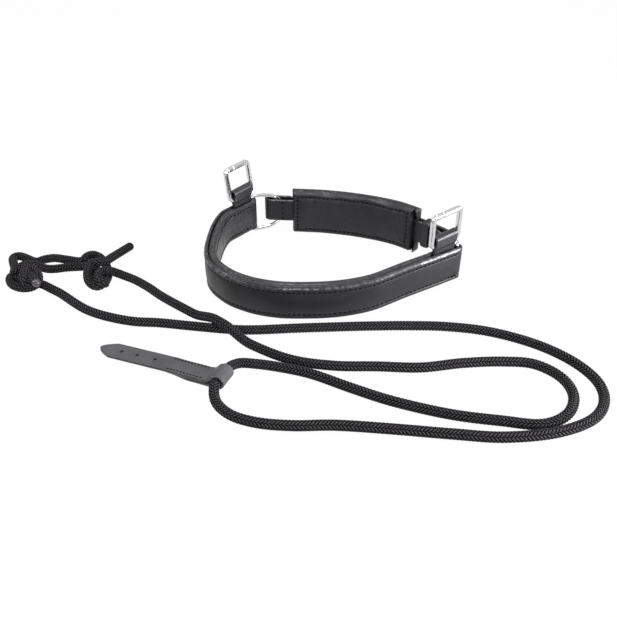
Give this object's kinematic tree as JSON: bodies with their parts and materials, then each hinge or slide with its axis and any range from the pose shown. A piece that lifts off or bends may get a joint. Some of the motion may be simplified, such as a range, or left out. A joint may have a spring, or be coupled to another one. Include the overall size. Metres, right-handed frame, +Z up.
{
  "type": "noseband",
  "caption": "Padded leather noseband with ringed ends, square roller loops and a buckled, padded chin strap, beside a knotted braided rope with a holed leather tab.",
  "frame": {"origin": "on the surface the noseband stands on, under the middle of the noseband without its rope", "axes": "+Z up; +X along the noseband's width, towards the end with the keeper; +Y from the nose strap's front towards the chin strap"},
  "size_m": [0.5615, 0.3548, 0.0868],
  "materials": {
    "bridle_leather": "smooth, soft sheen, rounded black edges",
    "lining_leather": "soft, fine grain",
    "foam": "matt filler, hidden",
    "metal": "polished",
    "rope": "tight round braid, matt"
  },
  "bodies": {
    "root": {"nose_strap": "bridle_leather", "nose_lining": "lining_leather", "nose_filler": "foam", "left_chape": "bridle_leather", "right_chape": "bridle_leather", "rope_line": "rope", "rope_loop": "rope", "rope_loop_return": "rope", "rope_tail": "rope", "loop_knot": "rope", "stopper_knot": "rope"},
    "left_ring": {"left_ring": "metal"},
    "right_ring": {"right_ring": "metal"},
    "left_loop": {"left_loop": "metal"},
    "left_roller": {"left_roller": "metal"},
    "right_loop": {"right_loop": "metal"},
    "right_roller": {"right_roller": "metal"},
    "chin": {"chin_strap": "bridle_leather", "chin_panel": "lining_leather", "chin_filler": "foam", "chin_backing": "lining_leather", "chin_cover": "bridle_leather", "chin_buckle_chape": "bridle_leather", "chin_buckle": "metal", "chin_keeper_right": "bridle_leather", "chin_keeper_left": "bridle_leather"},
    "chin_buckle_tongue": {"chin_buckle_tongue": "metal"},
    "tab": {"rope_tab": "bridle_leather"}
  },
  "joints": [
    {"name": "left_ring_swing", "type": "hinge", "parent": "root", "child": "left_ring", "pos_m": [-0.0866, 0.0782, 0.0223], "axis": [0, 0, 1], "range_deg": [-10, 10]},
    {"name": "chin_swing", "type": "hinge", "parent": "left_ring", "child": "chin", "pos_m": [-0.05331, 0.08902, 0.024], "axis": [0, 0, 1], "range_deg": [-12.5, 12.5]},
    {"name": "right_ring_swing", "type": "hinge", "parent": "root", "child": "right_ring", "pos_m": [0.1238, -0.0262, 0.0223], "axis": [0, 0, 1], "range_deg": [-8.5, 8.5]},
    {"name": "left_loop_hinge", "type": "hinge", "parent": "root", "child": "left_loop", "pos_m": [-0.0961, 0.06646, 0.0499], "axis": [0.6289, 0.7767, 0.0349], "range_deg": [-75, 75]},
    {"name": "left_roller_spin", "type": "hinge", "parent": "left_loop", "child": "left_roller", "pos_m": [-0.09973, 0.06793, 0.08267], "axis": [0.6289, 0.7767, 0.0349], "continuous": true},
    {"name": "right_loop_hinge", "type": "hinge", "parent": "root", "child": "right_loop", "pos_m": [0.10862, -0.03606, 0.0499], "axis": [0.8348, 0.5421, 0.0958], "range_deg": [-75, 75]},
    {"name": "right_roller_spin", "type": "hinge", "parent": "right_loop", "child": "right_roller", "pos_m": [0.10739, -0.03995, 0.08265], "axis": [0.8348, 0.5421, 0.0958], "continuous": true},
    {"name": "tongue_hinge", "type": "hinge", "parent": "chin", "child": "chin_buckle_tongue", "pos_m": [0.07121, 0.06227, 0.024], "axis": [0, 0, 1], "range_deg": [0, 10]},
    {"name": "tab_hinge", "type": "hinge", "parent": "root", "child": "tab", "pos_m": [-0.0953, -0.187, 0.0069], "axis": [0.3827, 0.9239, 0], "range_deg": [0, 120]}
  ],
  "couplings": [
    {"joint": "chin_swing", "follows": "left_ring_swing", "ratio": -1.2163},
    {"joint": "right_ring_swing", "follows": "left_ring_swing", "ratio": 0.81478}
  ]
}
